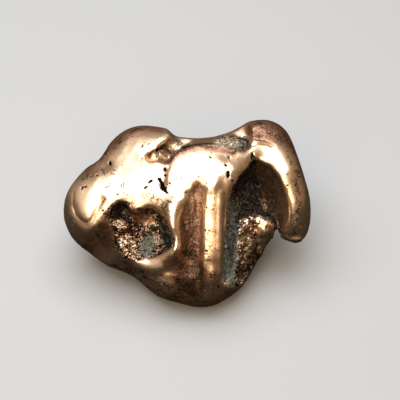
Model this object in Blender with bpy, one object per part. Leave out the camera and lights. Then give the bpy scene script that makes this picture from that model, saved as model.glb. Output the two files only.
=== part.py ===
"""A native copper nugget: one solid lump of water-worn metal, about 50 mm long.

It is blocked out as overlapping lobes and ropes, fused and smoothed, then hollowed, fluted and creased.
Units inside the script are millimetres; the finished mesh is scaled to metres.
"""

import math

import bmesh
import bpy
import numpy as np
from mathutils import Matrix, Vector

MM = 0.001

FACE_LEAN = 42  # degrees that the front face leans back from upright
REST_LEVEL = -0.8  # the worn flat that it rests on is cut at this Z

BODY_VOXEL = 0.8
MOULD_VOXEL = 0.5
SKIN_VOXEL = 0.6
BODY_SMOOTHING = 14
MOULD_SMOOTHING = 3
SKIN_SMOOTHING = 4
TRIANGLES = 9600

# Each lobe: centre and radius.
LOBES = {
    "left": (-15.0, -10.2, 12.2, 8.8),
    "top_left": (-8.2, -1.5, 15.8, 7.9),
    "forehead": (3.0, -8.0, 15.6, 10.6),
    "instep": (3.1, -16.8, 9.7, 8.0),
    "foot": (3.0, -19.1, 5.4, 7.5),
    "sole": (7.0, -19.0, 5.1, 5.2),
    "chin": (-2.3, -19.6, 6.4, 6.4),
    "jowl": (-7.6, -15.4, 6.8, 5.6),
    "wattle": (-13.6, -15.4, 7.5, 4.1),
    "top_right": (14.8, -0.3, 18.8, 6.1),
    "flank": (11.8, -14.0, 8.2, 3.9),
    "back_left": (-7.5, 1.5, 9.5, 6.6),
    "back_right": (6.0, 1.8, 9.0, 6.8),
    "heel": (6.0, -0.5, 5.0, 6.4),
    "leg_knee": (18.2, -7.3, 18.6, 4.4),
    "leg_shin": (19.8, -10.6, 15.2, 4.2),
    "leg_toe": (20.1, -11.9, 11.9, 4.0),
    "leg_tip": (21.5, -13.7, 10.4, 2.3),
    "leg_fin": (20.9, -15.2, 9.0, 1.2),
    "belly": (0.0, -9.6, 11.8, 12.6),
    "cheek": (-8.4, -8.8, 10.4, 12.0),
}

# Each skin is stretched over these lobes.
SKINS = (
    ("left", "forehead", "instep", "jowl"),
    ("forehead", "instep", "foot", "sole"),
    ("instep", "foot", "chin", "jowl"),
    ("left", "wattle", "jowl"),
    ("left", "top_left", "forehead"),
    ("forehead", "sole", "flank"),
    ("top_left", "back_left", "left"),
    ("back_left", "back_right", "foot"),
    ("heel", "back_left", "back_right", "flank"),
    ("top_right", "back_right"),
    ("forehead", "top_right"),
    ("top_right", "leg_knee"),
    ("leg_knee", "leg_shin"),
    ("leg_shin", "leg_toe", "leg_tip"),
    ("leg_tip", "leg_fin"),
    ("back_right", "leg_knee"),
    ("back_right", "flank", "leg_knee"),
    ("belly",),
    ("cheek",),
)

# Pockets in the front face: an outline (across, up), then rings (out, share of the outline, two shifts)
GRIT_POCKET = (
    (-13.2, -3.6), (-12.0, -1.8), (-9.6, 0.2), (-8.4, 0.3), (-7.2, 1.4), (-5.1, 0.6), (-3.5, -1.4),
    (-2.2, -4.0), (-2.0, -6.0), (-3.6, -7.4), (-6.2, -8.7), (-8.9, -9.2), (-10.8, -8.2), (-12.5, -6.2),
)
GRIT_RINGS = ((34, 1, 0, 0), (23.8, 1.0, 0, 0), (22.0, 0.86, 0.4, 0.3), (20.8, 0.6, 0.8, 0.6))

ARCH_POCKET = (
    (7.2, -12.0), (7.2, -6.8), (7.6, -1.1), (8.0, 3.2), (9.5, 6.4), (11.9, 9.3), (12.6, 11.4),
    (13.6, 10.0), (15.7, 9.1), (17.4, 7.2), (18.7, 4.0), (19.5, 0.2), (18.4, -4.6), (16.8, -3.0),
    (15.5, -1.4), (10.4, -0.6), (9.6, -3.4), (9.2, -7.0), (8.6, -11.0),
)
ARCH_RINGS = ((34, 1, 0, 0), (20.0, 1.0, 0, 0), (17, 0.85, -0.4, 0), (13.0, 0.6, -0.8, 0.3))

VALLEY = (
    (-3.7, 9.6), (-2.5, 11.1), (-0.9, 12.3), (1.1, 12.9), (3.5, 13.3), (5.3, 13.4), (7.2, 13.3),
    (9.0, 12.6), (10.2, 12.0), (11.7, 11.9), (12.4, 13.0), (12.6, 15.0), (11.5, 18.0), (6.0, 20.0),
    (0.0, 18.5), (-3.4, 15.5), (-5.0, 12.6), (-7.6, 11.8), (-7.0, 10.2), (-5.3, 10.0),
)
VALLEY_RINGS = ((34, 1, 0, 0), (20.4, 1.0, 0, 0), (18.2, 0.86, 1.2, 1.0), (15.8, 0.7, 2.4, 2.0))

BACK_RIM = (
    (-3.9, 17.4), (-3.1, 15.8), (-2.0, 14.9), (1.5, 14.6), (4.5, 14.7), (6.5, 15.1), (8.4, 15.8),
    (10.3, 16.7), (12.0, 18.2), (10.0, 21.0), (2.0, 21.0), (-3.0, 20.0),
)
BACK_RINGS = ((34, 1, 0, 0), (-16, 1, 0, 0))

POCKETS = (
    (GRIT_POCKET, GRIT_RINGS),
    (ARCH_POCKET, ARCH_RINGS),
    (VALLEY, VALLEY_RINGS),
    (BACK_RIM, BACK_RINGS),
)

# Hollows in the front face: centre (across, up, out), radii, and spin in degrees
HOLLOWS = (
    ((-12.2, 0.8, 22.6), (1.9, 1.8, 4.0), 0),
    ((-4.2, -4.6, 22.6), (1.8, 2.4, 3.6), 15),
    ((-20.2, 13.9, 15.0), (5.0, 5.0, 12.0), 0),
    ((17.8, -2.2, 17.6), (0.8, 2.8, 4.0), -6),
)

# Hollows and flutes round the back and the right side, in X, Y, Z
BACK_HOLLOWS = (
    ((5.0, 9.7, 12.2), (4.4, 3.2, 2.6), 0),
    ((8.2, 8.8, 10.2), (2.6, 2.4, 2.8), 0),
    ((2.4, 10.0, 14.2), (2.4, 2.6, 1.6), 0),
    ((-11.8, 6.4, 17.6), (3.2, 2.4, 1.9), 25),
    ((-8.6, 8.0, 18.8), (2.8, 2.2, 1.6), 10),
    ((-16.8, 0.6, 5.6), (3.6, 2.6, 2.0), 40),
    ((-18.6, -2.4, 7.2), (2.2, 2.6, 1.6), 60),
    ((16.8, 3.2, 9.4), (3.0, 2.6, 4.2), 40),
)
BACK_FLUTES = (
    (
        (-18.4, 1.4, 14.5, 1.6), (-12.5, 7.0, 12.5, 2.2), (-7.5, 9.5, 10.0, 2.5), (-2.0, 10.2, 7.0, 2.4),
        (3.0, 10.2, 5.0, 2.0), (8.0, 8.2, 1.6, 1.8),
    ),
    ((12.5, 5.8, 15.0, 1.6), (14.8, 1.6, 11.0, 1.8), (14.8, -1.5, 6.0, 1.6)),
)

# Flutes in the front face: points (across, up, out, radius)
FLUTES = (
    (
        (2.8, 5.8, 28.2, 1.3), (1.7, 2.2, 27.9, 2.2), (1.1, -2.5, 27.2, 2.6), (1.0, -6.0, 26.6, 2.6),
        (0.9, -9.0, 26.5, 2.6), (0.8, -10.8, 26.9, 2.6), (0.8, -12.2, 27.6, 2.4),
    ),
    (
        (-12.4, 0.2, 25.4, 2.0), (-13.6, -2.2, 25.8, 2.7), (-14.8, -4.6, 25.4, 3.4),
        (-16.6, -7.4, 22.6, 3.6), (-18.4, -9.8, 19.0, 3.4),
    ),
    ((-19.0, 11.8, 18.2, 2.2), (-16.2, 10.2, 21.5, 2.3), (-14.6, 9.4, 23.5, 2.0)),
)

# Lumps added after the pockets: centre (across, up, out), radii, and spin
LUMPS = (
    ((14.0, -3.2, 17.8), (2.9, 2.0, 2.4), 12),
)

# Creases pressed in: points (across, up), width and depth
CREASES = (
    (
        (
            (-21.3, 1.5), (-20.9, 0.0), (-20.2, -1.1), (-19.2, -1.9), (-18.4, -2.0), (-17.7, -1.3),
            (-17.2, -0.2), (-16.6, 1.3), (-15.9, 2.9),
        ), 0.9, 0.5,
    ),
    (((-3.2, 10.2), (-3.9, 8.3), (-4.2, 6.4), (-4.3, 4.6)), 1.0, 0.5),
    (((6.0, 8.8), (5.0, 6.9), (4.6, 5.6)), 0.9, 0.3),
)


def clear_scene():
    for obj in list(bpy.data.objects):
        bpy.data.objects.remove(obj)


def add_object(name, mesh):
    obj = bpy.data.objects.new(name, mesh)
    bpy.context.scene.collection.objects.link(obj)
    return obj


def face_matrix():
    """The frame of the front face: X across it, Y up it, Z out of it."""
    return Matrix.Rotation(math.radians(FACE_LEAN), 4, "X")


def add_skin(shape, names):
    """The skin stretched over the named lobes: their convex hull."""
    skin = bmesh.new()
    for name in names:
        x, y, z, radius = LOBES[name]
        place = Matrix.Translation((x, y, z))
        bmesh.ops.create_icosphere(skin, subdivisions=4, radius=radius, matrix=place)
    made = bmesh.ops.convex_hull(skin, input=skin.verts)
    unused = {v for v in made["geom_interior"] + made["geom_unused"] if isinstance(v, bmesh.types.BMVert)}
    bmesh.ops.delete(skin, geom=list(unused), context="VERTS")
    mesh = bpy.data.meshes.new("skin")
    skin.to_mesh(mesh)
    shape.from_mesh(mesh)
    bpy.data.meshes.remove(mesh)


def smooth_line(points, steps=10, closed=False):
    """Points read from a smooth curve that passes through the given ones."""
    ends = [points[-1]] + list(points) + [points[0], points[1]]
    if not closed:
        ends = [points[0]] + list(points) + [points[-1]]
    knots = [Vector(p) for p in ends]
    line = []
    for before, start, end, after in zip(knots, knots[1:], knots[2:], knots[3:]):
        for step in range(steps):
            t = step / steps
            bend = 2 * before - 5 * start + 4 * end - after
            twist = 3 * start - before - 3 * end + after
            line.append(start + 0.5 * ((end - before) * t + bend * t**2 + twist * t**3))
    if not closed:
        line.append(knots[-1])
    return line


def add_rope(shape, frame, points):
    """A row of balls along a smooth line, which fuse into a rope of changing radius."""
    for x, y, z, radius in smooth_line(points):
        place = frame @ Matrix.Translation((x, y, z))
        bmesh.ops.create_icosphere(shape, subdivisions=3, radius=radius, matrix=place)


def add_ellipsoid(shape, frame, centre, radii, spin):
    place = frame @ Matrix.Translation(centre) @ Matrix.Rotation(math.radians(spin), 4, "Z")
    bmesh.ops.create_icosphere(shape, subdivisions=4, radius=1, matrix=place @ Matrix.Diagonal((*radii, 1)))


def add_pocket(shape, frame, outline, rings):
    """A plug with the outline's shape, drawn in or shifted from ring to ring on its way inwards."""
    line = smooth_line(outline, 4, closed=True)
    middle = sum(line, Vector((0, 0))) / len(line)
    loops = []
    for out, share, across, up in rings:
        loop = []
        for p in line:
            q = middle + (p - middle) * share + Vector((across, up))
            loop.append(shape.verts.new(frame @ Vector((q.x, q.y, out))))
        loops.append(loop)
    shape.faces.new(loops[0])
    shape.faces.new(reversed(loops[-1]))
    for upper, lower in zip(loops, loops[1:]):
        for i in range(len(line)):
            j = (i + 1) % len(line)
            shape.faces.new((upper[j], upper[i], lower[i], lower[j]))


def settle(obj):
    """Replaces the object's mesh with the one its modifiers make."""
    graph = bpy.context.evaluated_depsgraph_get()
    mesh = bpy.data.meshes.new_from_object(obj.evaluated_get(graph))
    obj.modifiers.clear()
    obj.data = mesh


def fuse(obj, voxel, rounds):
    """Makes one closed, smooth skin of everything in the object."""
    remesh = obj.modifiers.new("Fuse", "REMESH")
    remesh.mode = "VOXEL"
    remesh.voxel_size = voxel
    smooth = obj.modifiers.new("Smooth", "SMOOTH")
    smooth.factor = 0.5
    smooth.iterations = rounds
    settle(obj)


def object_of(shape, name):
    mesh = bpy.data.meshes.new(name)
    bmesh.ops.recalc_face_normals(shape, faces=shape.faces)
    shape.to_mesh(mesh)
    return add_object(name, mesh)


def drop_crumbs(obj):
    """Keeps the largest connected body. A Boolean can leave slivers where a cutter grazes the skin."""
    shape = bmesh.new()
    shape.from_mesh(obj.data)
    bodies = []
    left = set(shape.verts)
    while left:
        body = set()
        edge = [left.pop()]
        while edge:
            vertex = edge.pop()
            body.add(vertex)
            near = {e.other_vert(vertex) for e in vertex.link_edges} & left
            left -= near
            edge.extend(near)
        bodies.append(body)
    largest = max(bodies, key=len)
    crumbs = [vertex for vertex in shape.verts if vertex not in largest]
    bmesh.ops.delete(shape, geom=crumbs, context="VERTS")
    shape.to_mesh(obj.data)


def array_of(vertices, name):
    values = np.empty(len(vertices) * 3)
    vertices.foreach_get(name, values)
    return values.reshape(-1, 3)


def press_crease(obj, points, width, depth):
    """Presses a groove into the front face, along the line through the points."""
    vertices = obj.data.vertices
    places = array_of(vertices, "co")
    normals = array_of(vertices, "normal")
    turn = np.array(face_matrix().to_3x3())
    flat = (places @ turn)[:, :2]
    outward = (normals @ turn)[:, 2]
    line = np.array([tuple(p) for p in smooth_line(points)])
    away = np.full(len(places), np.inf)
    for start, end in zip(line, line[1:]):
        along = np.clip((flat - start) @ (end - start) / ((end - start) @ (end - start)), 0, 1)
        nearest = start + along[:, None] * (end - start)
        away = np.minimum(away, np.linalg.norm(flat - nearest, axis=1))
    push = depth * np.exp(-((away / (0.6 * width)) ** 2)) * (outward > 0)
    places -= normals * push[:, None]
    vertices.foreach_set("co", places.ravel())
    obj.data.update()


def cut_flat(obj):
    """Cuts off what is below the rest level, which leaves the worn flat that the nugget rests on."""
    shape = bmesh.new()
    bmesh.ops.create_cube(shape, size=100, matrix=Matrix.Translation((0, 0, REST_LEVEL - 50)))
    block = object_of(shape, "block")
    cut = obj.modifiers.new("Flat", "BOOLEAN")
    cut.operation = "DIFFERENCE"
    cut.object = block
    settle(obj)
    bpy.data.objects.remove(block)


def stand(obj):
    """Puts the middle of the nugget's box over the origin, in metres."""
    corners = [Vector(c) for c in obj.bound_box]
    middle = (corners[0] + corners[6]) / 2
    obj.data.transform(Matrix.Scale(MM, 4) @ Matrix.Translation((-middle.x, -middle.y, -corners[0].z)))


def copper():
    material = bpy.data.materials.new("copper")
    material.use_nodes = True
    shader = material.node_tree.nodes["Principled BSDF"]
    shader.inputs["Base Color"].default_value = (0.72, 0.40, 0.20, 1)
    shader.inputs["Metallic"].default_value = 1
    shader.inputs["Roughness"].default_value = 0.35
    return material


def main():
    clear_scene()
    face = face_matrix()
    world = Matrix.Identity(4)
    shape = bmesh.new()
    for names in SKINS:
        add_skin(shape, names)
    nugget = object_of(shape, "nugget")
    fuse(nugget, BODY_VOXEL, BODY_SMOOTHING)

    mould = bmesh.new()
    for outline, rings in POCKETS:
        add_pocket(mould, face, outline, rings)
    for frame, hollows in ((face, HOLLOWS), (world, BACK_HOLLOWS)):
        for hollow in hollows:
            add_ellipsoid(mould, frame, *hollow)
    for frame, flutes in ((face, FLUTES), (world, BACK_FLUTES)):
        for flute in flutes:
            add_rope(mould, frame, flute)
    cutter = object_of(mould, "mould")
    fuse(cutter, MOULD_VOXEL, MOULD_SMOOTHING)
    cut = nugget.modifiers.new("Hollow", "BOOLEAN")
    cut.operation = "DIFFERENCE"
    cut.object = cutter
    settle(nugget)
    bpy.data.objects.remove(cutter)

    shape = bmesh.new()
    shape.from_mesh(nugget.data)
    for lump in LUMPS:
        add_ellipsoid(shape, face, *lump)
    shape.to_mesh(nugget.data)
    fuse(nugget, SKIN_VOXEL, SKIN_SMOOTHING)
    drop_crumbs(nugget)
    for points, width, depth in CREASES:
        press_crease(nugget, points, width, depth)

    thin = nugget.modifiers.new("Thin", "DECIMATE")
    thin.ratio = TRIANGLES / (2 * len(nugget.data.polygons))
    settle(nugget)
    cut_flat(nugget)
    stand(nugget)
    nugget.data.materials.append(copper())
    nugget.data.shade_smooth()


main()
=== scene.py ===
# %% [markdown]
# # A native copper nugget
#
# Native copper grows in the ground as solid metal, with no smelter to help it. A nugget like this one was
# squeezed and folded while it grew, then rolled in a river or a tumbler until its proud parts shone. Three
# things make its look: a worn, bright skin that mirrors the light in long soft bands; hollows that nothing
# ever rubbed, still gritty and stained green and black; and a brown tarnish over everything in between.
#
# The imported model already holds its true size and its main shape. This lesson leaves that shape alone and
# grows a fine skin over it: first the crisp rims and creases, then pits and grit, then the metal itself.

import math
from types import SimpleNamespace

import bmesh
import bpy
import numpy as np
from mathutils import Matrix, Vector
from mathutils.bvhtree import BVHTree


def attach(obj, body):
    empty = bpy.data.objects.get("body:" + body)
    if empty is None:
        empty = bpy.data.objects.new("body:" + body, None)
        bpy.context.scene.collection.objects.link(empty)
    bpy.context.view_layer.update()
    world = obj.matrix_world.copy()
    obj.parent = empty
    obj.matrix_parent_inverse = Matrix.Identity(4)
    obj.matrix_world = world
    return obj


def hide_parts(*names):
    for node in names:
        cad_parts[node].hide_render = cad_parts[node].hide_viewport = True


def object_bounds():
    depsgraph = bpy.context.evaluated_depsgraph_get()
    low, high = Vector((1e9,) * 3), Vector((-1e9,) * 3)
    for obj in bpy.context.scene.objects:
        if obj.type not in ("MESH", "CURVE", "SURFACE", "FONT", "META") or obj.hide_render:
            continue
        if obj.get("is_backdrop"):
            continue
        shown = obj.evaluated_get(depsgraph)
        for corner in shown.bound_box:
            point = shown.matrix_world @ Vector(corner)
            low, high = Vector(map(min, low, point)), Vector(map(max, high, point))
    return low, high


MM = 0.001  # lengths below are in millimetres, and finished meshes are in metres

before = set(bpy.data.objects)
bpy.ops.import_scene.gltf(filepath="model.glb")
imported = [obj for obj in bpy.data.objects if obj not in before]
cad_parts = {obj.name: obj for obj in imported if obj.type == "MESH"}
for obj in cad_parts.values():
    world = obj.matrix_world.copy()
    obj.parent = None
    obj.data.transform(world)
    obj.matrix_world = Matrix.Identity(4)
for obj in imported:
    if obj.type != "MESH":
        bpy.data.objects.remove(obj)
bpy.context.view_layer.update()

# %% [markdown]
# ## The slanting face
#
# The side of the nugget that shows most is a broad face leaning back 42 degrees. Everything on it, such as
# a rim or a pit, is easier to place in that face's own directions than in X, Y and Z: how far across, how
# far up the slope, and how far out of it. One rotation takes us there and back.

# %% Directions on the face
FACE_LEAN = math.radians(42)
FACE_ZERO = np.array([-0.15, 9.01, 0.8])  # the point that the face's distances are counted from
FACE_TURN = np.array(Matrix.Rotation(FACE_LEAN, 3, "X"))


def on_face(places):
    """Across, up and out for an array of places."""
    return (places - FACE_ZERO) @ FACE_TURN


def from_face(across, up, out):
    """The place, in millimetres, of a point on the face."""
    return Vector(FACE_TURN @ np.array([across, up, out]) + FACE_ZERO)


# %% [markdown]
# ## Studio
#
# Bare metal has no colour of its own until it has something to mirror, so the lights are part of the
# finish. A large softbox hangs overhead and draws the white bands along the shoulders. A weaker one in
# front keeps the ridges golden. The rest of the room stays dim, which gives the brown flanks. The floor is
# pale, but its mirror image is dark: otherwise it would light the underside as brightly as the top.

# %% Putting things in the scene
def link(name, data):
    """A new object at the origin, made from a mesh, a light or a camera."""
    obj = bpy.data.objects.new(name, data)
    bpy.context.scene.collection.objects.link(obj)
    return obj


# %% Camera
CAMERA_DISTANCE = 280
MM_PER_PIXEL = 0.205  # at the point the camera looks at, in a picture 400 pixels wide
PICTURE_WIDTH = 400
SENSOR_WIDTH = 36
LOOK_AT = (2.665, 2.665)  # across and up
CLIP_START = 10

lens = bpy.data.cameras.new("camera")
lens.sensor_width = SENSOR_WIDTH
lens.lens = SENSOR_WIDTH * CAMERA_DISTANCE / (PICTURE_WIDTH * MM_PER_PIXEL)
lens.clip_start = CLIP_START * MM
camera = link("camera", lens)
camera.location = from_face(*LOOK_AT, CAMERA_DISTANCE) * MM
camera.rotation_euler = (FACE_LEAN, 0, 0)
bpy.context.scene.camera = camera
print(f"camera: {lens.lens:.0f} mm lens, {90 - math.degrees(FACE_LEAN):.0f} degrees above level")

# %% Lights
NUGGET_MIDDLE = (0, 0, 12)
COOL_WHITE = (0.9, 1, 1.15)
WARM_WHITE = (1, 0.89, 0.73)
ROOM_GLOW = (1, 0.68, 0.43, 1)
ROOM_STRENGTH = 0.215


def add_softbox(name, place, target, size, power, colour):
    """A square area light, in millimetres and watts."""
    light = bpy.data.lights.new(name, "AREA")
    light.size = size * MM
    light.energy = power
    light.color = colour
    box = link(name, light)
    box.location = Vector(place) * MM
    box.rotation_euler = (Vector(target) - Vector(place)).to_track_quat("-Z", "Y").to_euler()


add_softbox("key_softbox", (-45, 40, 360), NUGGET_MIDDLE, 385, 3.2, COOL_WHITE)
add_softbox("front_softbox", (-60, -380, 420), NUGGET_MIDDLE, 400, 2.3, WARM_WHITE)

world = bpy.data.worlds.new("studio")
world.use_nodes = True
glow = world.node_tree.nodes["Background"].inputs
glow["Color"].default_value = ROOM_GLOW
glow["Strength"].default_value = ROOM_STRENGTH
bpy.context.scene.world = world
bpy.context.scene.view_settings.view_transform = "Standard"
print(f"2 softboxes, in a room with a glow of {ROOM_STRENGTH}")

# %% Floor
FLOOR_SIZE = 4000
FLOOR_ROUGHNESS = 0.9
FLOOR_GLOSS = 0.1
PALE = (0.32, 0.306, 0.283, 1)
PALE_IN_A_MIRROR = (0.008, 0.006, 0.005, 1)
SHARE, FIRST, SECOND, MIXED = 0, 6, 7, 2  # a Mix node's inputs and its output, when it mixes colours


def make_floor_material():
    """Pale to the eye, and nearly black to a ray that comes from a mirror."""
    material = bpy.data.materials.new("pale_floor")
    material.use_nodes = True
    tree = material.node_tree
    shader = tree.nodes["Principled BSDF"]
    shader.inputs["Roughness"].default_value = FLOOR_ROUGHNESS
    shader.inputs["Specular IOR Level"].default_value = FLOOR_GLOSS
    path = tree.nodes.new("ShaderNodeLightPath")
    choose = tree.nodes.new("ShaderNodeMix")
    choose.data_type = "RGBA"
    choose.inputs[FIRST].default_value = PALE
    choose.inputs[SECOND].default_value = PALE_IN_A_MIRROR
    tree.links.new(path.outputs["Is Glossy Ray"], choose.inputs[SHARE])
    tree.links.new(choose.outputs[MIXED], shader.inputs["Base Color"])
    return material


def add_floor():
    """One square face, marked as something that isn't part of the nugget."""
    half = FLOOR_SIZE * MM / 2
    corners = [(-half, -half, 0), (half, -half, 0), (half, half, 0), (-half, half, 0)]
    mesh = bpy.data.meshes.new("floor")
    mesh.from_pydata(corners, [], [(0, 1, 2, 3)])
    mesh.materials.append(make_floor_material())
    link("floor", mesh)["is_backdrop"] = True


add_floor()
print(f"the floor is {FLOOR_SIZE} mm square")

# %% [markdown]
# ## A skin fine enough to work on
#
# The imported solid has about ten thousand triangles: right for weighing and for resting on a table, but its
# flats would show in a mirror-like skin. We copy it, join its loose triangles, round it with two
# subdivisions and then rebuild it with a voxel remesh, which gives even small faces everywhere. A little
# smoothing takes out the steps that voxels leave.

# %% Mesh helpers
def evaluated_mesh(obj):
    """The mesh that the object's modifiers make."""
    graph = bpy.context.evaluated_depsgraph_get()
    return bpy.data.meshes.new_from_object(obj.evaluated_get(graph))


def read(vertices, name):
    """The vertices' places or normals, as one row of three numbers each."""
    values = np.empty(len(vertices) * 3, np.float32)
    vertices.foreach_get(name, values)
    return values.reshape(-1, 3).astype(float)


def store(mesh, name, values):
    """Keeps one number for each vertex, under a name that modifiers and materials can read."""
    attribute = mesh.attributes.get(name) or mesh.attributes.new(name, "FLOAT", "POINT")
    attribute.data.foreach_set("value", values.astype(np.float32))


def recall(mesh, name):
    """The numbers that were stored under this name."""
    values = np.empty(len(mesh.vertices), np.float32)
    mesh.attributes[name].data.foreach_get("value", values)
    return values.astype(float)


# %% The fine skin
SAME_CORNER = 0.002  # corners closer than this are one
ROUNDINGS = 2
SKIN_VOXEL = 0.36
SKIN_SMOOTHINGS = 3
SMOOTHING_SHARE = 0.5


def grow_skin():
    """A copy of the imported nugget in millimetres, rounded and rebuilt with small even faces."""
    shape = bmesh.new()
    shape.from_mesh(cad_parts["nugget"].data)
    bmesh.ops.remove_doubles(shape, verts=shape.verts, dist=SAME_CORNER * MM)
    bmesh.ops.recalc_face_normals(shape, faces=shape.faces)
    mesh = bpy.data.meshes.new("skin")
    shape.to_mesh(mesh)
    mesh.transform(Matrix.Scale(1 / MM, 4))
    skin = link("nugget_skin", mesh)
    rounding = skin.modifiers.new("Round", "SUBSURF")
    rounding.levels = ROUNDINGS
    rounding.render_levels = ROUNDINGS
    remesh = skin.modifiers.new("Even", "REMESH")
    remesh.mode = "VOXEL"
    remesh.voxel_size = SKIN_VOXEL
    smooth = skin.modifiers.new("Smooth", "SMOOTH")
    smooth.factor = SMOOTHING_SHARE
    smooth.iterations = SKIN_SMOOTHINGS
    skin.data = evaluated_mesh(skin)
    skin.modifiers.clear()
    return skin


skin = grow_skin()
print(f"the skin has {len(skin.data.polygons)} faces")

# %% [markdown]
# ## Reading the skin
#
# Wear and dirt follow the shape, so we measure the shape first. Two measurements do most of the work: how
# sheltered each point is, found by sending rays out of it and counting those that hit the nugget again, and
# whether it is open to the front, so that a stroke drawn on the face doesn't print through onto the back.

# %% Shelter and the open front
SHELTER_RAYS = 40
SHELTER_REACH = 12  # a wall further off than this shelters nothing
GRAZING = 0.15  # rays that leave the skin at a lower slant than this aren't counted


def even_directions(count):
    """Unit vectors spread evenly over a sphere, by the golden angle."""
    turn = math.pi * (3 - math.sqrt(5))
    directions = []
    for i in range(count):
        height = 1 - 2 * (i + 0.5) / count
        rim = math.sqrt(1 - height * height)
        directions.append(Vector((rim * math.cos(turn * i), rim * math.sin(turn * i), height)))
    return directions


def measure_shelter(mesh, tree):
    """For every vertex, the share of the directions above it that the nugget itself blocks."""
    directions = even_directions(SHELTER_RAYS)
    shelter = np.zeros(len(mesh.vertices))
    for i, vertex in enumerate(mesh.vertices):
        above = [d for d in directions if d.dot(vertex.normal) > GRAZING]
        start = vertex.co + vertex.normal * SKIN_VOXEL
        hits = sum(tree.ray_cast(start, d, SHELTER_REACH)[0] is not None for d in above)
        shelter[i] = hits / len(above)
    return shelter


def measure_front(mesh, tree):
    """For every vertex, 1 if nothing stands between it and a viewer in front of the face."""
    out = Vector(FACE_TURN @ np.array([0, 0, 1]))
    front = np.zeros(len(mesh.vertices))
    for i, vertex in enumerate(mesh.vertices):
        start = vertex.co + vertex.normal * SKIN_VOXEL
        front[i] = vertex.normal.dot(out) > 0 and tree.ray_cast(start, out)[0] is None
    return front


def measure(mesh):
    """Stores both measurements."""
    tree = BVHTree.FromPolygons([v.co for v in mesh.vertices], [p.vertices for p in mesh.polygons])
    store(mesh, "shelter", measure_shelter(mesh, tree))
    store(mesh, "front", measure_front(mesh, tree))


measure(skin.data)
print(f"{recall(skin.data, 'front').mean():.0%} of the skin is open to the front")

# %% [markdown]
# ## Drawing on the face
#
# Three brushes are enough. One follows a line and fades away to each side, for folds and rims. One fills an
# outline, for areas. One makes an oval spot, for pits. Each returns a number from 0 to 1 at each vertex, and
# that number can press the skin in, lift it, or tint it. Places are in millimetres, across and up the face.

# %% What the brushes read
def read_points(mesh):
    """Everything about the vertices that a brush needs."""
    places = read(mesh.vertices, "co")
    return SimpleNamespace(
        places=places,
        normals=read(mesh.vertices, "normal"),
        flat=on_face(places)[:, :2],
        shelter=recall(mesh, "shelter"),
        front=recall(mesh, "front"),
    )


def soft_step(low, high, values):
    """0 at the first value and 1 at the second, with a gentle start and end."""
    share = np.clip((values - low) / (high - low), 0, 1)
    return share * share * (3 - 2 * share)


CORNER_CUT = 0.25  # how far along each side a corner is cut
CORNER_ROUNDS = 2


def rounded(points, closed=False):
    """The points with their corners cut, so that a few make a smooth line."""
    line = np.array(points, float)
    for _ in range(CORNER_ROUNDS):
        after = np.roll(line, -1, axis=0)
        early = line * (1 - CORNER_CUT) + after * CORNER_CUT
        late = line * CORNER_CUT + after * (1 - CORNER_CUT)
        cut = np.stack([early, late], axis=1).reshape(-1, 2)
        line = cut if closed else np.vstack([line[:1], cut[:-2], line[-1:]])
    return line


def distance_to(at, line):
    """How far each vertex is from the line, across the face."""
    nearest = np.full(len(at.flat), np.inf)
    for start, end in zip(line[:-1], line[1:]):
        along = end - start
        share = np.clip((at.flat - start) @ along / (along @ along), 0, 1)
        nearest = np.minimum(nearest, np.linalg.norm(at.flat - start - share[:, None] * along, axis=1))
    return nearest


# %% The brushes
SPOT_CORE = 0.2  # the share of a spot that has its full strength


def brush_line(at, points, width):
    """1 on the line and 0 from this width away."""
    return at.front * soft_step(width, 0, distance_to(at, rounded(points)))


def brush_area(at, points, border):
    """1 inside the outline and 0 outside it, over a border that is this wide."""
    line = rounded(points, closed=True)
    line = np.vstack([line, line[:1]])
    inside = np.zeros(len(at.flat), bool)
    for (x0, y0), (x1, y1) in zip(line[:-1], line[1:]):
        if y0 != y1:
            crosses = (y0 > at.flat[:, 1]) != (y1 > at.flat[:, 1])
            inside ^= crosses & (at.flat[:, 0] < x0 + (at.flat[:, 1] - y0) * (x1 - x0) / (y1 - y0))
    depth = np.where(inside, 1, -1) * distance_to(at, line)
    return at.front * soft_step(-border / 2, border / 2, depth)


def brush_spot(at, across, up, width, height, lean=0):
    """1 in the middle of an oval and 0 at its rim; it leans anticlockwise by this many degrees."""
    angle = math.radians(lean)
    turn = np.array([[math.cos(angle), -math.sin(angle)], [math.sin(angle), math.cos(angle)]])
    offset = (at.flat - (across, up)) @ turn / (width / 2, height / 2)
    return at.front * soft_step(1, SPOT_CORE, np.linalg.norm(offset, axis=1))


# %% [markdown]
# ## Outlines of the hollows
#
# The pocket, the flute and the arch are where the finish changes, so their outlines come up again and again.
# Each is a short list of corners, across and up the face, which the brushes round off.

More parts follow.
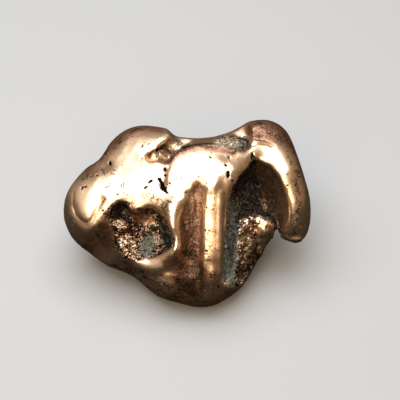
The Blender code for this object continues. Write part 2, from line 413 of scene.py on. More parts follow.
# %% Outlines
FLUTE = [(1.3, 6.1), (2.3, 6.5), (3.3, 6.2), (3.6, 5.2), (3.4, 3.6), (3.2, 1.7), (3.0, -0.2), (2.8, -3.0),
         (2.7, -6.0), (2.6, -8.6), (1.2, -9.6), (-0.4, -8.8), (-1.0, -6.4), (-1.3, -4.0), (-1.2, -2.1),
         (-0.9, -0.2), (-0.5, 1.7), (0.1, 3.6)]
ARCH = [(7.3, -13.6), (7.0, -8.9), (7.2, -5.7), (7.5, -2.0), (7.7, 1.5), (8.1, 3.6), (8.9, 5.4),
        (10.4, 7.4), (11.8, 9.2), (12.7, 11.5), (13.4, 10.2), (14.9, 9.4), (16.5, 8.4), (17.8, 6.5),
        (18.8, 4.2), (19.6, 1.6), (19.8, -0.6), (19.4, -3.8), (17.0, -5.2), (14.0, -8.5), (12.0, -11.5),
        (9.8, -14.4)]
ARCH_WALL = [(13.4, 10.8), (15.2, 10.0), (16.7, 8.8), (18.1, 7.0), (19.4, 4.5), (20.3, 2.0), (20.7, 0.0),
             (20.3, -2.3), (19.0, -4.4), (17.9, -3.0), (17.4, -1.0), (16.3, -0.2), (15.1, 0.4), (14.6, 1.7),
             (15.0, 3.0), (14.6, 4.6), (13.8, 6.5), (13.2, 8.4)]
NODULE = [(9.8, -0.4), (11.3, 0.2), (12.8, -0.2), (14.5, -0.5), (16.1, -1.0), (17.0, -2.3), (17.0, -4.2),
          (15.3, -6.1), (13.4, -8.4), (12.2, -10.3), (10.9, -12.6), (9.4, -14.4), (9.0, -13.8), (9.5, -11.7),
          (9.9, -9.2), (10.1, -6.9), (9.9, -4.6), (10.3, -2.7)]
KNOB = [(13.2, -0.8), (14.5, -0.5), (16.1, -1.0), (17.0, -2.3), (17.0, -4.2), (15.3, -6.1), (13.8, -7.6),
        (13.4, -5.0), (13.2, -2.6)]
POCKET = [(-8.5, -8.8), (-5.9, -8.1), (-3.2, -6.7), (-1.9, -5.5), (-2.2, -4.2), (-3.2, -1.8), (-4.4, 0.0),
          (-6.8, 1.4), (-8.5, 0.8), (-10.5, 2.6), (-13.2, 2.2), (-15.5, 0.4), (-16.5, -2.0), (-16.7, -4.2),
          (-14.9, -6.3), (-12.4, -7.5), (-10.4, -8.8)]
SCOOP = [(-15.2, 1.0), (-16.2, -1.4), (-16.9, -4.0), (-16.2, -6.8), (-14.2, -7.6), (-13.2, -5.4),
         (-13.6, -2.4)]
BRIDGE = [(-10.2, 0.9), (-9.6, 0.1), (-8.4, -0.7), (-6.9, -1.3)]
SADDLE = [(4.5, 13.2), (7.0, 12.6), (9.5, 12.0), (11.5, 12.0), (12.2, 13.4), (11.8, 14.8), (9.0, 15.4),
          (6.0, 14.6)]
SADDLE_END = [(-4.0, 13.5), (-3.2, 14.8), (-1.0, 14.2), (1.0, 13.6), (0.4, 12.6), (-2.2, 11.2), (-3.6, 11.0)]
WEDGE = [(-6.6, 12.2), (-4.6, 11.9), (-2.9, 11.0), (-3.2, 10.0), (-5.6, 10.0), (-6.4, 10.9)]
CREST = [(-3.8, 9.7), (-2.7, 10.7), (-1.5, 11.7), (-0.2, 12.4), (1.7, 13.0), (5.3, 13.3), (8.9, 12.5),
         (10.4, 11.9), (12.3, 12.5)]
SLIT = [(7.4, -13.4), (7.1, -9.0), (7.2, -5.0), (7.6, -1.0), (8.2, 2.6), (10.4, 2.6), (10.6, -1.0),
        (10.4, -4.6), (10.3, -7.0), (10.2, -10.0), (9.2, -13.6)]
SLIT_MIDDLE = [(7.6, 1.6), (7.6, -2.0), (8.2, -6.0), (8.6, -10.0), (8.8, -13.0)]
TONGUE = [(-21.3, 4.0), (-21.3, 1.7), (-20.9, 0.2), (-20.0, -0.9), (-18.5, -1.7), (-17.2, -0.5), (-16.6, 1.0),
          (-15.2, 2.8)]
ROUGH_BORDER = 0.6


def rough_area(at):
    """Where the metal kept its gritty grown surface."""
    hollows = [FLUTE, ARCH, POCKET, SADDLE, SADDLE_END, WEDGE]
    return np.maximum.reduce([brush_area(at, outline, ROUGH_BORDER) for outline in hollows])


rough_share = (rough_area(read_points(skin.data)) > 0).mean()
print(f"{rough_share:.0%} of the skin lies in the rough hollows")

# %% [markdown]
# ## Folds, rims and pits
#
# The metal flowed over itself while it grew, and each fold left a crisp line that a ten-thousand-triangle
# solid can't hold. The folds are drawn one by one, with a depth that is positive for a groove and negative
# for a bead. So are the few pits and chinks that are big enough to tell apart, and the broad swells that
# bring a shoulder to the slant at which it mirrors the softbox.

# %% Folds
WIDE_FOLD = 1.3  # from this width on, a fold is a broad change of shape and not a fine line
FOLDS = {
    # name: (width, depth, points)
    "tongue": (0.45, 0.1, TONGUE),
    "forehead filling": (2.0, -0.3, [(6.2, 9.4), (5.7, 7.9), (5.2, 6.5), (4.7, 5.2)]),
    "right ridge": (1.9, -0.3, [(5.4, 5.0), (5.5, 1.5), (5.6, -3.0), (5.6, -8.0), (5.5, -12.0)]),
    "ridge edge": (0.8, -0.12, [(4.3, 5.0), (3.9, 3.6), (3.7, 1.5), (3.5, -2.0), (3.4, -6.0), (3.4, -10.0)]),
    "slit rim": (1.0, -0.25, [(6.6, 4.0), (6.4, 0.0), (6.4, -5.0), (6.5, -11.0)]),
    "left ridge": (1.5, -0.15, [(-0.8, 4.4), (-1.4, 3.0), (-1.9, 1.4), (-2.3, 0.0), (-2.4, -2.0),
                                (-2.2, -4.0)]),
    "flute filling": (2.0, -0.6, [(0.2, 2.2), (0.0, 0.0), (-0.2, -3.0), (-0.2, -6.0)]),
    "ledge corner": (2.4, -0.9, [(-1.8, -4.8), (-2.0, -6.1), (-2.9, -7.3)]),
    "ledge": (2.0, -0.9, [(-2.0, -6.4), (-3.0, -8.1), (-4.5, -9.5), (-6.0, -10.1), (-7.4, -10.1),
                          (-8.6, -9.7), (-9.9, -9.1), (-11.2, -8.1)]),
    "nodule ledge": (0.9, -0.4, [(12.8, -0.9), (15.0, -1.3), (16.8, -2.2)]),
    "nodule groove": (0.9, 0.45, [(12.9, -0.4), (13.0, -2.4), (13.2, -4.6), (14.0, -6.4)]),
    "leg lip": (0.7, -0.3, [(18.4, -4.2), (20.0, -4.8), (21.8, -4.8)]),
    "crest": (0.8, -0.25, [(-3.6, 9.0), (-2.4, 10.2), (-1.2, 11.2), (0.2, 11.9), (1.9, 12.5), (5.3, 12.8),
                           (8.9, 12.0)]),
    "top wrinkle": (0.35, 0.14, [(13.2, 14.2), (14.6, 14.0), (15.7, 13.6), (16.7, 13.0)]),
    "low wrinkle": (0.35, 0.14, [(12.7, 13.0), (13.8, 13.5), (15.3, 13.3), (16.3, 12.8)]),
    "high wrinkle": (0.4, 0.12, [(11.9, 15.1), (13.2, 16.1), (14.6, 16.7)]),
    "belly fold": (0.7, -0.06, [(-5.4, -10.9), (-3.4, -11.4), (-0.8, -11.9)]),
    "belly edge": (1.0, 0.15, [(2.6, -9.4), (2.8, -12.0), (3.2, -13.8)]),
}
AREAS = {
    # name: (border, depth, outline)
    "flute floor": (3.0, -0.8, [(0.6, 3.0), (2.8, 3.0), (2.8, -7.5), (-0.8, -7.5)]),
    "ridge top": (1.6, -0.55, [(-3.7, 2.2), (-2.2, 3.4), (-1.0, 2.8), (-1.1, -2.0), (-1.2, -6.6),
                               (-2.1, -6.8), (-2.8, -4.8), (-3.8, -2.0)]),
}
print(f"{len(FOLDS)} folds, of which {sum(fold[0] >= WIDE_FOLD for fold in FOLDS.values())} are broad")

# %% Pits and swells
PITS = {
    # name: (depth, across, up, width, height, lean)
    "chink": (0.45, -4.3, 5.1, 1.1, 2.3, 8),
    "chink top": (0.25, -4.9, 6.5, 1.0, 0.8, 0),
    "chink crumb": (0.15, -3.9, 8.3, 0.8, 1.1, 20),
    "chink mid": (0.15, -3.8, 7.2, 0.7, 0.8, 0),
    "diamond": (0.12, 7.9, 7.4, 1.0, 2.3, 0),
    "crumb": (0.1, 7.5, 9.1, 0.8, 0.6, 0),
    "dot": (0.1, 4.7, 10.6, 0.5, 0.4, 0),
    "chain": (0.1, 8.1, 10.6, 0.4, 1.0, 0),
    "hatch": (0.15, -6.6, 6.1, 1.7, 0.6, 35),
    "hatch tail": (0.12, -7.4, 5.0, 1.3, 0.5, 50),
    "left dent": (0.12, -14.4, 9.6, 0.8, 1.4, 20),
    "left crumb": (0.08, -16.8, 7.3, 0.6, 0.5, 0),
    "left mark": (0.08, -19.6, 4.9, 0.6, 1.1, -25),
    "apex": (0.4, 12.5, 11.0, 0.7, 1.8, -10),
    "wedge hole": (0.5, -5.5, 12.2, 0.7, 1.1, -30),
}
SWELLS = {
    # the same, for broad changes of shape; most are lifts, so their depth is negative
    "top hollow": (0.35, 13.6, 15.3, 3.4, 2.8, 0),
    "flute end": (0.3, 0.8, -12.0, 5.4, 10.5, 0),
    "ridge swell": (-1.6, -2.4, -5.2, 5.4, 12.0, 0),
    "ridge root": (-0.45, -3.0, -0.6, 5.0, 6.5, 0),
    "forehead side": (-0.6, 9.2, 7.4, 7.0, 7.5, 0),
    "ridge foot": (-0.5, 5.2, -12.0, 4.6, 6.4, 0),
    "tongue swell": (-0.65, -19.0, -1.0, 7.5, 8.0, 0),
    "nodule corner": (0.9, 10.4, -0.9, 3.0, 3.0, 0),
    "nodule knob": (-0.8, 15.3, -2.8, 3.6, 4.6, 0),
    "notch lump": (-0.6, 12.8, 8.6, 1.5, 2.0, 0),
    "slit end": (-1.2, 8.3, -13.6, 2.6, 3.4, 0),
    "wedge filling": (-0.9, -5.2, 11.4, 4.8, 3.0, -10),
    "saddle filling": (-0.5, -1.6, 13.2, 6.0, 2.8, -10),
}
print(f"{len(PITS)} pits and {len(SWELLS)} swells")

# %% [markdown]
# ## More faces where they count
#
# Grit and folds need points to take shape, and a smooth shoulder doesn't. Cutting in four only the faces on
# the rough ground and along the folds doubles the detail there, and keeps the whole piece under two hundred
# thousand triangles.

# %% Refining
FOLD_MARGIN = 0.4  # how far past a fold the finer faces go
PIT_MARGIN = 0.6
FINER_ABOVE = 0.3  # the strength from which a brush asks for finer faces


def refine(mesh, wanted):
    """Cuts the edges between wanted vertices, which turns each face among them into four."""
    shape = bmesh.new()
    shape.from_mesh(mesh)
    edges = [edge for edge in shape.edges if wanted[edge.verts[0].index] and wanted[edge.verts[1].index]]
    bmesh.ops.subdivide_edges(shape, edges=edges, cuts=1, use_grid_fill=True)
    shape.to_mesh(mesh)


def near_folds(at):
    """Where a fold or a pit needs finer faces than the skin has."""
    folds = [brush_line(at, points, width + FOLD_MARGIN)
             for width, _, points in FOLDS.values() if width < WIDE_FOLD]
    pits = [brush_spot(at, across, up, width + PIT_MARGIN, height + PIT_MARGIN, lean)
            for _, across, up, width, height, lean in PITS.values()]
    return np.maximum.reduce(folds + pits)


def count_triangles(mesh):
    """How many triangles the faces make."""
    return sum(len(polygon.vertices) - 2 for polygon in mesh.polygons)


at = read_points(skin.data)
refine(skin.data, np.maximum(rough_area(at), near_folds(at)) > FINER_ABOVE)
print(f"the refined skin has {count_triangles(skin.data)} triangles")

# %% [markdown]
# ## Pressing them in
#
# A fine line or a pit is pressed along the normals, so it follows whatever wall it is on. A broad swell moved
# that way would push a steep wall sideways, so it moves straight out of the face and the wall keeps its lean.
# The slit comes first: it is so deep that its crust would be lost in the dark, so its bottom is raised.

# %% Raising the slit
SLIT_TOP = 21.0  # out of the face
SLIT_RAISED = 0.55  # the share of its depth that is filled
SLIT_BORDER = 1.6
SLIT_FADE = (4.0, -3.0)  # up the face; the filling starts at the first and is full at the second


def move(mesh, places):
    """Puts the vertices at these places, but never below the level that the nugget rests on."""
    places[:, 2] = np.maximum(places[:, 2], 0)
    mesh.vertices.foreach_set("co", places.astype(np.float32).ravel())
    mesh.update()


def raise_slit(mesh):
    """Lifts the bottom of the slit towards its top, so that light reaches it."""
    at = read_points(mesh)
    out = (at.places - FACE_ZERO) @ FACE_TURN[:, 2]
    rise = np.clip(SLIT_TOP - out, 0, None) * SLIT_RAISED * brush_area(at, SLIT, SLIT_BORDER)
    rise *= soft_step(*SLIT_FADE, at.flat[:, 1])
    move(mesh, at.places + rise[:, None] * FACE_TURN[:, 2])
    return rise.max()


slit_raised = raise_slit(skin.data)
print(f"the bottom of the slit rose by up to {slit_raised:.1f} mm")

# %% Pressing
SKIN_LIFT = 0.1  # makes up for what the remesh and the smoothing wear away


def press(mesh):
    """Presses the folds, areas, swells and pits in, and keeps the pits as a mask."""
    at = read_points(mesh)
    fine = np.full(len(at.places), -SKIN_LIFT)
    broad = np.zeros(len(at.places))
    for width, deep, points in FOLDS.values():
        depth = fine if width < WIDE_FOLD else broad
        depth += deep * brush_line(at, points, width)
    for border, deep, outline in AREAS.values():
        broad += deep * brush_area(at, outline, border)
    for deep, *oval in SWELLS.values():
        broad += deep * brush_spot(at, *oval)
    holes = np.zeros(len(at.places))
    for deep, *oval in PITS.values():
        spot = brush_spot(at, *oval)
        fine += deep * spot
        holes = np.maximum(holes, spot)
    move(mesh, at.places - at.normals * fine[:, None] - broad[:, None] * FACE_TURN[:, 2])
    store(mesh, "holes", holes)
    return np.linalg.norm(read(mesh.vertices, "co") - at.places, axis=1).max()


pressed = press(skin.data)
print(f"pressing moved the skin by up to {pressed:.1f} mm")

# %% [markdown]
# ## Where the finish changes
#
# Each finish gets a mask, painted with the same brushes and then tied to the shelter, so that it gathers
# where water and fingers never reached. The brown mask also holds painted shade: on the underside, on the
# sides, and in stains laid where the skin should mirror less light. The back has no brushwork at all: there
# the shelter and the way the skin faces decide. First come the small marks that cross from one hollow to the
# next: pinholes, black spots of crust and painted shade, sparkle, stains with painted shade, and cracks.

# %% Pinholes, black spots of crust and painted shade, and sparkle
PITTED_LINES = [
    # (share of pits, width, points)
    (0.5, 2.2, [(5.0, 3.4), (4.6, -4.0), (4.6, -11.0)]),
    (0.6, 3.0, [(-1.2, 7.5), (-2.9, 4.5), (-2.9, 2.0)]),
    (0.6, 3.2, [(-15.0, 5.0), (-10.5, 4.6), (-6.0, 3.2), (-3.4, 0.8)]),
    (0.5, 2.6, [(-20.0, 5.5), (-17.0, 8.0), (-13.5, 7.5)]),
    (0.4, 2.4, [(8.0, 10.5), (8.0, 6.0)]),
    (0.6, 2.2, [(20.6, 6.0), (21.4, 1.0), (20.6, -4.0)]),
    (0.4, 1.4, [(-9.0, -10.2), (-4.4, -9.4), (-1.6, -7.8)]),
    (0.55, 4.6, [(-11.0, -10.6), (-6.0, -13.0), (-1.0, -15.6)]),
    (0.5, 2.6, [(14.0, 17.4), (17.5, 15.4), (19.8, 11.5), (21.3, 7.0)]),
    (0.5, 2.4, [(-17.5, 9.4), (-14.6, 13.0), (-9.0, 16.4)]),
]
# black spots: crust in the hollows, and painted shade in the deepest holes of the pocket and in the gap
# between the nodule and the leg, which should lie in shadow
BLACK_CRUST_AND_SHADE_SPOTS = [
    # (strength, across, up, width, height, lean)
    (0.6, -12.8, 1.6, 3.0, 3.2, 0),
    (0.5, -12.8, -0.6, 4.2, 2.6, 0),
    (0.6, -6.0, -2.6, 3.4, 2.4, 15),
    (1.0, -3.5, -4.8, 2.8, 5.6, 20),
    (0.8, 10.6, 6.8, 4.4, 3.6, 30),
    (0.8, 12.8, 10.0, 1.2, 3.4, 0),
    (0.9, 17.0, -1.6, 2.0, 5.0, 0),
    (0.9, 12.6, 10.6, 1.6, 2.8, 0),
    (0.8, 20.9, -0.8, 1.6, 3.8, -5),
    (0.7, -4.0, -2.4, 2.0, 3.0, 30),
]
GLINT_SPOTS = [
    # the same: where the grit's tips shine more than elsewhere
    (1.1, -11.3, 0.3, 2.0, 1.8, 0),
    (0.7, -12.2, -2.0, 3.4, 2.2, 0),
    (0.28, -10.4, -6.4, 4.8, 6.0, 25),
    (0.8, -5.5, -4.8, 2.2, 3.8, 25),
    (0.6, -5.9, -1.9, 2.4, 1.2, -10),
    (0.7, 14.8, -0.9, 6.0, 1.6, -12),
    (0.75, 11.2, -5.4, 4.8, 12.0, -10),
    (0.8, 10.4, -12.6, 2.4, 3.4, -30),
    (1.2, -4.8, 11.6, 4.0, 2.2, -15),
    (1.1, -2.0, 13.2, 5.6, 2.2, 0),
    (0.9, 7.6, 13.6, 8.0, 3.0, 0),
]
print(f"{len(PITTED_LINES)} lines of pinholes, {len(BLACK_CRUST_AND_SHADE_SPOTS)} spots of black crust and painted shade, {len(GLINT_SPOTS)} bright ones")

# %% Stains with painted shade, and fine lines
# brown laid on as painted shade where the skin should mirror a dimmer part of the room: over the top of the
# right lobe and over the belly
SHADE_AND_STAIN_AREAS = [
    # (strength, border, outline)
    (1.1, 2.2, [(11.8, 18.0), (14.5, 20.2), (18.9, 18.9), (21.8, 14.1), (22.7, 9.4), (21.0, 10.3),
                (19.5, 12.6), (17.0, 12.8), (14.5, 13.0), (12.6, 13.8), (11.5, 15.7)]),
    (1.35, 2.8, [(-1.1, -8.3), (3.6, -8.3), (4.2, -12.4), (3.8, -16.2), (-0.2, -16.2), (-3.0, -13.4),
                 (-2.6, -10.2)]),
]
# brown along lines, mostly painted shade: on the top of the flute, along the right ridge, the top left rim and
# the right rim, and over the top of the right lobe; brown tarnish along the crest and beside the chinks
SHADE_AND_STAIN_LINES = [
    # (strength, width, points)
    (0.95, 2.0, [(1.9, 5.6), (2.2, 3.6), (1.8, 0.0)]),
    (0.55, 2.0, [(5.4, 1.5), (5.5, -3.0), (5.4, -12.0)]),
    (0.8, 2.2, [(5.4, -7.0), (5.4, -12.0)]),
    (0.6, 0.8, [(-7.6, 4.5), (-6.9, 5.6), (-5.9, 6.3)]),
    (0.8, 0.9, [(-4.0, 8.6), (-3.9, 7.0), (-3.6, 6.0)]),
    (0.85, 3.4, [(-18.5, 8.5), (-14.6, 13.6), (-9.0, 16.8), (-5.5, 16.8)]),
    (1.3, 1.5, [(-3.2, 9.8), (-1.1, 11.6), (1.2, 12.5), (3.6, 12.8), (6.4, 12.3), (8.8, 11.6)]),
    (0.4, 1.6, [(21.0, 7.0), (21.4, 3.0), (21.2, -1.0)]),
    (0.9, 1.6, [(9.4, 15.8), (11.4, 16.4)]),
]
SATIN_LINES = [
    # the same: where the polish is softer
    (0.6, 2.0, [(-2.0, -2.0), (-2.0, -4.0), (-2.2, -5.6), (-3.1, -7.2), (-4.6, -8.4), (-6.0, -9.1),
                (-7.4, -9.4), (-8.6, -9.1), (-9.9, -8.5)]),
    (0.8, 4.0, [(-20.4, 4.2), (-19.4, 1.6), (-17.4, 0.4)]),
]
HAIRLINES = [
    # the same: thin dark cracks
    (0.8, 0.5, [(-5.0, 6.7), (-4.4, 5.8), (-4.0, 4.8), (-3.5, 4.0)]),
    (0.5, 0.35, [(1.5, 6.6), (2.4, 7.1), (3.3, 6.7), (4.0, 5.6)]),
    (0.34, 0.3, TONGUE),
    (0.5, 0.3, [(-3.8, 9.9), (-2.7, 10.9), (-1.5, 11.9), (-0.2, 12.6), (1.7, 13.2), (5.3, 13.4)]),
    (0.3, 0.25, [(14.8, 10.0), (16.8, 9.2), (18.3, 7.4), (19.3, 5.0)]),
]
print(f"{len(SHADE_AND_STAIN_AREAS) + len(SHADE_AND_STAIN_LINES)} stains and {len(HAIRLINES)} thin cracks")

# %% [markdown]
# ## Mixing the masks
#
# A mask is rarely one region. The brown lies as tarnish on the flute and the wall of the arch, darker in
# every sheltered spot, and as painted shade on the underside, on the sides and in the stains, each with its
# own strength. So the regions get names first, and a table then says how strongly each enters each mask.
# Where two overlap, the stronger one wins.

# %% Regions
REGIONS = {
    # name: (outline, border)
    "flute": (FLUTE, 0.5), "flute stain": (FLUTE, 2.0), "arch": (ARCH, 0.5), "wall": (ARCH_WALL, 0.8),
    "nodule": (NODULE, 0.8), "knob": (KNOB, 0.8), "pocket": (POCKET, 0.8), "scoop": (SCOOP, 1.4),
    "saddle": (SADDLE, 2.0), "saddle end": (SADDLE_END, 0.8), "wedge": (WEDGE, 0.6),
}
BRIDGE_WIDTH = 2.1
CREST_WIDTH = 0.8
SLIT_WIDTH = 5.0
BLOOM_SPOT = (-7.3, -6.0, 4.4, 6.4, -15)
FLUTE_STAIN_FADE = (9.0, -3.0)  # up the face: where it starts, and where it is full
# the brown laid where the skin faces down or aside is painted shade
FACING_DOWN = (0.45, -0.35)  # the upward part of the normal, likewise
FACING_ASIDE = (0.55, 0.0)  # the part of the normal that points out of the face
SHELTERED = (0.3, 0.75)
DARKEST = (0.55, 0.85)
FAINT_GLINT = 0.27
FEW_PINHOLES = 0.12
MORE_BELOW = 0.3
print(f"{len(REGIONS)} outlined regions")


# %% Brushing and rubbing
def strongest(regions, strengths):
    """At each vertex, the strongest of these regions."""
    return np.maximum.reduce([strength * regions[name] for name, strength in strengths.items()])


def rubbed(values, regions, shares):
    """The values, less the share of them that is rubbed away in each of these regions."""
    for name, share in shares.items():
        values = values * (1 - share * regions[name])
    return values


def brush_spots(at, spots):
    """The strongest of many spots; the next two do the same for lines and areas."""
    return np.maximum.reduce([strength * brush_spot(at, *oval) for strength, *oval in spots])


def brush_lines(at, lines):
    return np.maximum.reduce([strength * brush_line(at, points, width) for strength, width, points in lines])


def brush_areas(at, areas):
    return np.maximum.reduce([strength * brush_area(at, points, border) for strength, border, points in areas])


# %% Naming every region
SMOOTH = {"wall": 1, "nodule": 0.5, "knob": 0.85, "scoop": 0.9, "bridge": 0.9}


def read_regions(at, pits):
    """The strength of each named region at every vertex."""
    regions = {name: brush_area(at, outline, border) for name, (outline, border) in REGIONS.items()}
    regions["flute stain"] *= soft_step(*FLUTE_STAIN_FADE, at.flat[:, 1])
    regions["bridge"] = brush_line(at, BRIDGE, BRIDGE_WIDTH)
    regions["crest"] = brush_line(at, CREST, CREST_WIDTH)
    # painted shade: the brown mask darkens what faces down or aside
    regions["below"] = soft_step(*FACING_DOWN, at.normals[:, 2])
    regions["side"] = soft_step(*FACING_ASIDE, at.normals @ FACE_TURN[:, 2])
    regions["darkest"] = soft_step(*DARKEST, at.shelter)
    regions["small hollows"] = np.maximum(regions["wedge"], regions["saddle end"])
    regions["deep"] = rubbed(soft_step(*SHELTERED, at.shelter), regions, {"small hollows": 0.6})
    regions["smooth"] = strongest(regions, SMOOTH)
    regions["arch wall"] = regions["wall"] * regions["arch"]
    regions["arch floor"] = rubbed(regions["arch"], regions, {"wall": 1, "nodule": 1})
    regions["arch grit"] = rubbed(regions["arch"], regions, {"wall": 1, "knob": 0.5})
    regions["pocket grit"] = rubbed(regions["pocket"], regions, {"bridge": 0.6, "scoop": 0.8})
    regions["slit floor"] = regions["arch floor"] * brush_line(at, SLIT_MIDDLE, SLIT_WIDTH)
    regions["pocket bloom"] = brush_spot(at, *BLOOM_SPOT)
    # black spots of crust and of painted shade
    regions["black crust and shade"] = brush_spots(at, BLACK_CRUST_AND_SHADE_SPOTS)
    regions["glint"] = FAINT_GLINT + brush_spots(at, GLINT_SPOTS)
    # the stains: painted shade, with some tarnish along the crest
    regions["stain and painted shade"] = np.maximum(brush_areas(at, SHADE_AND_STAIN_AREAS), brush_lines(at, SHADE_AND_STAIN_LINES))
    regions["satin"] = brush_lines(at, SATIN_LINES)
    regions["pits"] = pits
    regions["hairlines"] = brush_lines(at, HAIRLINES)
    regions["pinholes"] = brush_lines(at, PITTED_LINES)
    regions["stray pinholes"] = FEW_PINHOLES + MORE_BELOW * regions["below"]
    return regions


regions = read_regions(read_points(skin.data), recall(skin.data, "holes"))
print(f"{len(regions)} regions")

# %% Painting the masks
MASKS = {
    # mask: {region: strength}
    "grit": {"flute": 0.25, "arch": 1, "pocket": 1, "saddle": 0.8, "saddle end": 0.5, "wedge": 0.3,
             "deep": 0.7},
    # brown: tarnish on the flute, the arch and the pocket, darker where sheltered, and painted shade from the
    # below, side and stain regions
    "brown": {"flute stain": 1.2, "arch": 0.5, "arch wall": 0.5, "pocket": 0.4, "scoop": 0.8, "bridge": 1,
              "wedge": 0.2, "deep": 1, "crest": 1, "below": 0.66, "side": 0.36, "stain and painted shade": 1},
    "crust": {"arch floor": 0.65, "black crust and shade": 1, "darkest": 0.6},
    "bloom": {"pocket bloom": 1, "saddle": 0.48, "saddle end": 0.25, "slit floor": 0.8775},
    "satin": {"satin": 1},
    "holes": {"pits": 1, "hairlines": 1},
    "rough": {"flute": 0.18, "arch grit": 1, "pocket grit": 1, "saddle": 0.6, "saddle end": 0.8, "wedge": 0.6,
              "deep": 0.6},
    "glint": {"glint": 1},
    "pitted": {"pinholes": 1, "stray pinholes": 1},
    "streaked": {"flute": 0.5, "arch wall": 0.4},
}
RUBBED_OFF = {"grit": {"smooth": 1}, "brown": {"nodule": 0.9}}  # mask: {region: share}
STRONGEST = 2

for mask, strengths in MASKS.items():
    values = rubbed(strongest(regions, strengths), regions, RUBBED_OFF.get(mask, {}))
    store(skin.data, mask, np.clip(values, 0, STRONGEST))
    print(f"{mask}: {values.mean():.0%} of the skin")

# %% [markdown]
# ## Building with nodes
#
# The grit, the pits and the metal are all made by node trees. A few short helpers keep those trees readable:
# one adds a node and fills or wires its inputs, and the others wrap the nodes that come up most.

# %% Helpers for node trees
def add_node(tree, kind, inputs=None, **settings):
    """A node, with its inputs given by name or number as values or as other nodes' outputs."""
    node = tree.nodes.new(kind)
    for name, value in settings.items():
        setattr(node, name, value)
    for name, value in (inputs or {}).items():
        if isinstance(value, bpy.types.NodeSocket):
            tree.links.new(value, node.inputs[name])
        else:
            node.inputs[name].default_value = value
    return node


def calculate(tree, operation, *values):
    """A Math node's output."""
    return add_node(tree, "ShaderNodeMath", dict(enumerate(values)), operation=operation).outputs[0]


def scaled(tree, vector, factor):
    """The vector, made longer or shorter."""
    return add_node(tree, "ShaderNodeVectorMath", {0: vector, "Scale": factor}, operation="SCALE").outputs[0]


def fade(tree, value, low, high):
    """A soft step from 0 to 1 between two values; it falls if the second is the lower one."""
    if high < low:
        return calculate(tree, "SUBTRACT", 1.0, fade(tree, value, high, low))
    inputs = {"Value": value, "From Min": low, "From Max": high}
    return add_node(tree, "ShaderNodeMapRange", inputs, interpolation_type="SMOOTHSTEP").outputs["Result"]


def noise(tree, place, size, detail=3.0, output="Fac"):
    """Cloudy values around 0.5 whose lumps are about this size."""
    inputs = {"Vector": place, "Scale": calculate(tree, "DIVIDE", 1.0, size), "Detail": detail}
    return add_node(tree, "ShaderNodeTexNoise", inputs).outputs[output]


def cells(tree, place, size):
    """Points scattered this far apart: how far the nearest is, as a share of that, and its lot, 0 to 1."""
    inputs = {"Vector": place, "Scale": calculate(tree, "DIVIDE", 1.0, size)}
    node = add_node(tree, "ShaderNodeTexVoronoi", inputs)
    lot = add_node(tree, "ShaderNodeSeparateXYZ", {0: node.outputs["Color"]}).outputs[0]
    return node.outputs["Distance"], lot


def warped(tree, place, size, reach):
    """The place pushed about by clouds of this size, so that what is drawn there loses its regular look."""
    shift = scaled(tree, noise(tree, place, size, 2.0, "Color"), reach)
    return add_node(tree, "ShaderNodeVectorMath", {0: place, 1: shift}, operation="ADD").outputs[0]


# %% [markdown]
# ## Grit and pits
#
# Where nothing rubbed the metal, it kept the crumbly surface that it grew with. Where it was rubbed, bubbles
# and soft inclusions fell out and left pits. Both are far too many to place by hand, so a Geometry Nodes tree
# moves the skin along its normals: rounded cells for grit, rare deep cells for pits, and a slow ripple that
# makes reflections wander as they do on a hand-worn surface.

# %% Starting and ending a tree
def start_tree(name, sizes):
    """An empty Geometry Nodes tree with named inputs, and its input and output sockets."""
    tree = bpy.data.node_groups.new(name, "GeometryNodeTree")
    tree.interface.new_socket("Geometry", in_out="INPUT", socket_type="NodeSocketGeometry")
    tree.interface.new_socket("Geometry", in_out="OUTPUT", socket_type="NodeSocketGeometry")
    tree.interface.new_socket("Material", in_out="INPUT", socket_type="NodeSocketMaterial")
    for size in sizes:
        tree.interface.new_socket(size, in_out="INPUT", socket_type="NodeSocketFloat")
    return tree, tree.nodes.new("NodeGroupInput").outputs, tree.nodes.new("NodeGroupOutput").inputs


def read_mask(tree, name):
    """A stored attribute, for use inside a Geometry Nodes tree."""
    node = add_node(tree, "GeometryNodeInputNamedAttribute", {"Name": name}, data_type="FLOAT")
    return node.outputs["Attribute"]


def finish_tree(tree, geometry, material, outlet):
    """Ends the tree with real geometry in one material."""
    real = add_node(tree, "GeometryNodeRealizeInstances", {"Geometry": geometry})
    painted = add_node(tree, "GeometryNodeSetMaterial", {"Geometry": real.outputs[0], "Material": material})
    tree.links.new(painted.outputs[0], outlet)


def swing(tree, value, height, mask):
    """A cloudy value turned into a height above and below the surface, where the mask allows."""
    centred = calculate(tree, "SUBTRACT", value, 0.5)
    return calculate(tree, "MULTIPLY", calculate(tree, "MULTIPLY", centred, height), mask)


# %% Grit, pits and ripples
RELIEF = {
    "Grain Size": 0.55, "Grain Height": 0.34, "Lump Size": 2.0, "Lump Height": 1.7, "Pit Spacing": 1.2,
    "Pit Width": 0.3, "Pit Depth": 0.08, "Ripple Size": 2.6, "Ripple Height": 0.16, "Streak Height": 0.3,
}
GRAIN_WARP = (0.8, 1.7)  # the size of the clouds that push the grains about, and how far they push
PIT_WARP = (0.5, 0.4)
PATCH_SIZE = 1.3  # grains come in patches about this big
PATCH_FADE = (0.36, 0.56)
BOWL_FADE = (0.0, 0.8)  # from the rim of a pit to the edge of its flat bottom
STREAK_STRETCH = (2.2, 0.35, 0.35)


